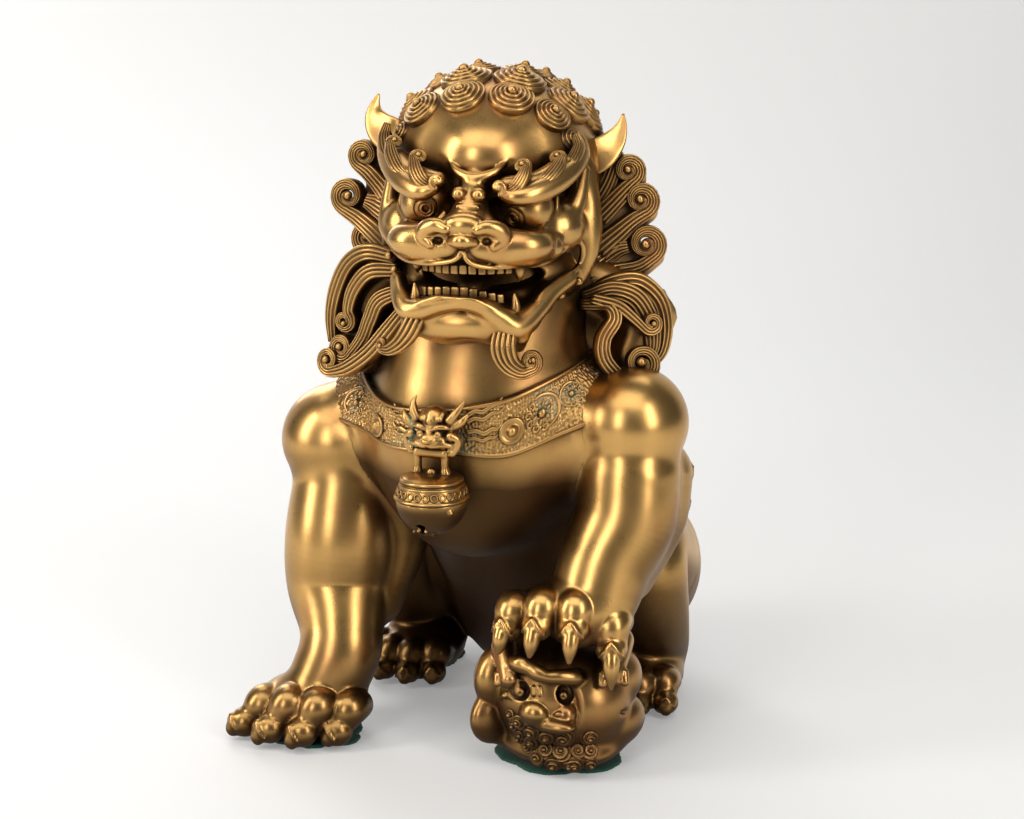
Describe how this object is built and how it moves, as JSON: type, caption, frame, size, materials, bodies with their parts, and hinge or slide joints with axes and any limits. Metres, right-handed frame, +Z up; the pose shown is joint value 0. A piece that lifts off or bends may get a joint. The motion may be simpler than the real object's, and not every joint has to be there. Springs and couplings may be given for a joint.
{
  "type": "foo dog statue",
  "caption": "Seated guardian lion statue in aged brass with a cub under one forepaw, a relief collar with a hanging bell, and felt pads",
  "frame": {"origin": "on the table surface, at the bottom centre of the whole figure's box", "axes": "+Z up, the lion faces -Y and its left side is +X"},
  "size_m": [0.2964, 0.3165, 0.4615],
  "materials": {
    "aged_brass": "cast, burnished on the high points, dark brown in the recesses",
    "dark_brass": "cast, brown patina",
    "felt": "green wool felt, cut edge"
  },
  "bodies": {
    "statue": {"torso": "aged_brass", "right_foreleg": "aged_brass", "left_foreleg": "aged_brass", "right_hind_leg": "aged_brass", "left_hind_leg": "aged_brass", "head": "aged_brass", "lower_jaw": "aged_brass", "tongue": "dark_brass", "upper_teeth": "aged_brass", "lower_teeth": "aged_brass", "right_eye": "aged_brass", "left_eye": "aged_brass", "right_ear": "aged_brass", "left_ear": "aged_brass", "right_brow": "aged_brass", "left_brow": "aged_brass", "crown_curls": "aged_brass", "right_side_scrolls": "aged_brass", "left_side_scrolls": "aged_brass", "right_mane_lock": "aged_brass", "left_mane_lock": "aged_brass", "back_mane": "aged_brass", "right_beard_tuft": "aged_brass", "left_beard_tuft": "aged_brass", "shoulder_curls": "aged_brass", "foreleg_curls": "aged_brass", "tail": "aged_brass", "collar_band": "aged_brass", "collar_mask": "aged_brass", "collar_bosses": "aged_brass", "collar_medallions": "aged_brass", "cub_body": "aged_brass", "cub_head": "aged_brass", "right_forepaw_felt": "felt", "cub_felt": "felt", "right_hind_felt": "felt", "left_hind_felt": "felt", "rump_felt": "felt", "bell_pin": "dark_brass"},
    "bell": {"bell_yoke": "aged_brass", "bell_cap": "aged_brass", "bell_band": "aged_brass", "bell_bowl": "aged_brass", "bell_pellet": "dark_brass"}
  },
  "joints": [
    {"name": "bell_swing", "type": "hinge", "parent": "statue", "child": "bell", "pos_m": [0.006, -0.1354, 0.219], "axis": [-1, 0, 0], "range_deg": [-2, 30]}
  ]
}
